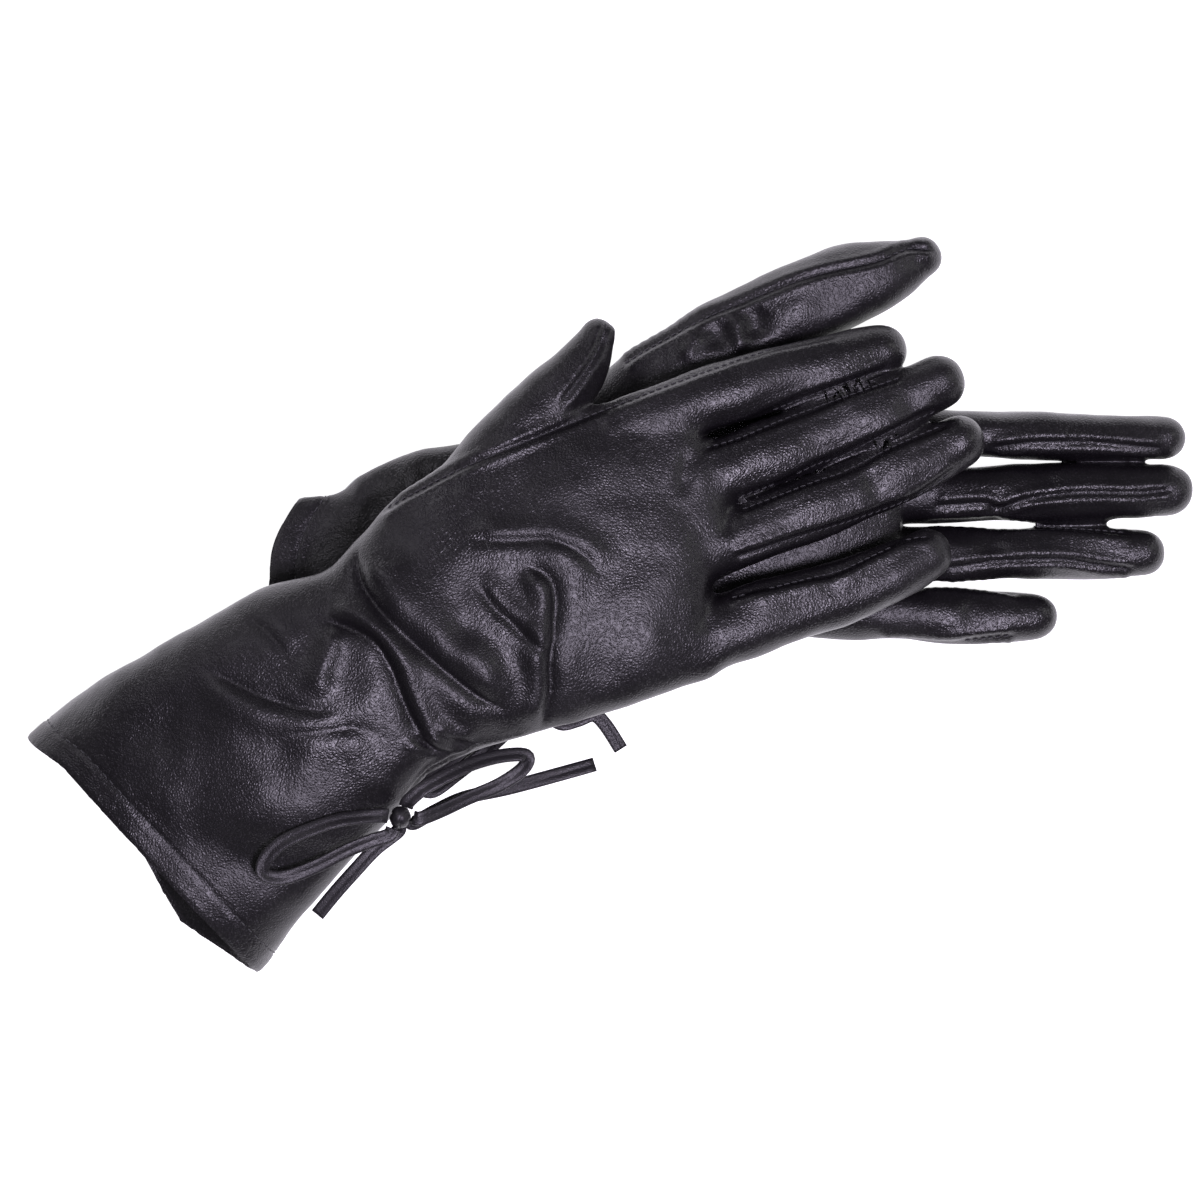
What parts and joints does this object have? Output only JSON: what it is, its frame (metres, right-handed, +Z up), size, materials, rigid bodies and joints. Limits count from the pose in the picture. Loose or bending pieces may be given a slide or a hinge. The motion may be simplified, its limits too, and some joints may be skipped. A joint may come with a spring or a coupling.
{
  "type": "pair of leather dress gloves",
  "caption": "Pair of long black leather gloves with flared cuffs and a leather bow at each wrist, laid one across the other with the fingers fanned.",
  "frame": {"origin": "on the table under the middle of the pair", "axes": "+X along the longest extent, from the cuffs to the fingertips; +Z up from the table, from the lower glove to the upper one"},
  "size_m": [0.3333, 0.2136, 0.0587],
  "materials": {
    "glove_leather": "black glove leather with a fine pebble grain and a soft satin gloss",
    "fourchette_leather": "black glove leather, thinner and smoother, in the sides of the fingers",
    "thong_leather": "black leather folded and stitched into a narrow flat thong",
    "lining": "dark fine knitted lining",
    "elastic": "woven elastic, natural white"
  },
  "bodies": {
    "left_glove": {"left_back_panel": "glove_leather", "left_palm_panel": "glove_leather", "left_hand_lining": "lining", "left_wrist_elastic": "elastic", "left_bow_knot": "thong_leather", "left_cuff_loop": "thong_leather", "left_hand_loop": "thong_leather", "left_cuff_tail": "thong_leather", "left_hand_tail": "thong_leather", "left_index_stall": "glove_leather", "left_middle_stall": "glove_leather", "left_ring_stall": "glove_leather", "left_little_stall": "glove_leather", "left_stall_fourchettes": "fourchette_leather", "left_stall_linings": "lining"},
    "right_glove": {"right_back_panel": "glove_leather", "right_palm_panel": "glove_leather", "right_hand_lining": "lining", "right_wrist_elastic": "elastic", "right_bow_knot": "thong_leather", "right_cuff_loop": "thong_leather", "right_hand_loop": "thong_leather", "right_cuff_tail": "thong_leather", "right_hand_tail": "thong_leather"},
    "left_index_end": {"left_index_fingertip": "glove_leather", "left_index_tip_fourchettes": "fourchette_leather", "left_index_tip_lining": "lining"},
    "left_middle_end": {"left_middle_fingertip": "glove_leather", "left_middle_tip_fourchettes": "fourchette_leather", "left_middle_tip_lining": "lining"},
    "left_ring_end": {"left_ring_fingertip": "glove_leather", "left_ring_tip_fourchettes": "fourchette_leather", "left_ring_tip_lining": "lining"},
    "left_little_end": {"left_little_fingertip": "glove_leather", "left_little_tip_fourchettes": "fourchette_leather", "left_little_tip_lining": "lining"},
    "left_thumb_stall": {"left_thumb": "glove_leather", "left_thumb_lining": "lining"},
    "right_index_finger": {"right_index_stall": "glove_leather", "right_index_fourchettes": "fourchette_leather", "right_index_lining": "lining"},
    "right_middle_finger": {"right_middle_stall": "glove_leather", "right_middle_fourchettes": "fourchette_leather", "right_middle_lining": "lining"},
    "right_ring_finger": {"right_ring_stall": "glove_leather", "right_ring_fourchettes": "fourchette_leather", "right_ring_lining": "lining"},
    "right_little_finger": {"right_little_stall": "glove_leather", "right_little_fourchettes": "fourchette_leather", "right_little_lining": "lining"},
    "right_thumb_stall": {"right_thumb": "glove_leather", "right_thumb_lining": "lining"}
  },
  "joints": [
    {"name": "right_glove_lift", "type": "slide", "parent": "left_glove", "child": "right_glove", "axis": [0, 0, 1], "range_m": [0, 0.15]},
    {"name": "right_index_bend", "type": "hinge", "parent": "right_glove", "child": "right_index_finger", "pos_m": [0.02144, 0.05497, 0.0478], "axis": [0.2605, -0.9655, 0], "range_deg": [0, 30]},
    {"name": "right_middle_bend", "type": "hinge", "parent": "right_glove", "child": "right_middle_finger", "pos_m": [0.02673, 0.03537, 0.0478], "axis": [0.2605, -0.9655, 0], "range_deg": [0, 30]},
    {"name": "right_ring_bend", "type": "hinge", "parent": "right_glove", "child": "right_ring_finger", "pos_m": [0.03202, 0.01577, 0.0478], "axis": [0.2605, -0.9655, 0], "range_deg": [0, 30]},
    {"name": "right_little_bend", "type": "hinge", "parent": "right_glove", "child": "right_little_finger", "pos_m": [0.0373, -0.00383, 0.0478], "axis": [0.2605, -0.9655, 0], "range_deg": [0, 30]},
    {"name": "right_thumb_swing", "type": "hinge", "parent": "right_glove", "child": "right_thumb_stall", "pos_m": [-0.05227, 0.04122, 0.04], "axis": [0, 0, 1], "range_deg": [0, 20]},
    {"name": "left_index_curl", "type": "hinge", "parent": "left_glove", "child": "left_index_end", "pos_m": [0.1141, 0.04897, 0.01715], "axis": [0, -1, 0], "range_deg": [0, 60]},
    {"name": "left_middle_curl", "type": "hinge", "parent": "left_glove", "child": "left_middle_end", "pos_m": [0.1141, 0.03191, 0.01711], "axis": [0, -1, 0], "range_deg": [0, 60]},
    {"name": "left_ring_curl", "type": "hinge", "parent": "left_glove", "child": "left_ring_end", "pos_m": [0.1141, 0.01444, 0.0169], "axis": [0, -1, 0], "range_deg": [0, 60]},
    {"name": "left_little_curl", "type": "hinge", "parent": "left_glove", "child": "left_little_end", "pos_m": [0.1021, -0.00322, 0.01665], "axis": [0, -1, 0], "range_deg": [0, 60]},
    {"name": "left_thumb_swing", "type": "hinge", "parent": "left_glove", "child": "left_thumb_stall", "pos_m": [-0.0004, 0.0663, 0.013], "axis": [0, 0, 1], "range_deg": [0, 15]}
  ]
}
